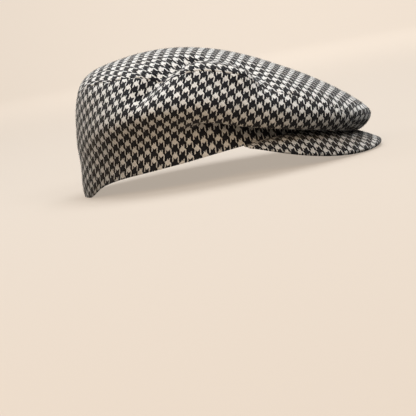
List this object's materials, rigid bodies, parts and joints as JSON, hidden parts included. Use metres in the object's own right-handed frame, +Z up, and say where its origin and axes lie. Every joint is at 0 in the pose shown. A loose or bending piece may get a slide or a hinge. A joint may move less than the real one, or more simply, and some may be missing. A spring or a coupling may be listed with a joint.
{
  "type": "flat cap",
  "caption": "Soft houndstooth wool flat cap with a rounded crown that overhangs a stiff curved peak, hollow for the head.",
  "frame": {"origin": "on the surface the cap rests on, under the middle of its length and width", "axes": "+X towards the tip of the peak, +Y to the wearer's left, +Z up"},
  "size_m": [0.269, 0.1968, 0.1159],
  "materials": {
    "crown_top_cloth": "black and ivory houndstooth wool, straight grain",
    "crown_side_cloth": "black and ivory houndstooth wool, on the bias",
    "peak_cloth": "black and ivory houndstooth wool over a board"
  },
  "bodies": {
    "root": {"crown_top": "crown_top_cloth", "crown_side_right": "crown_side_cloth", "crown_side_left": "crown_side_cloth", "peak": "peak_cloth"}
  },
  "joints": []
}
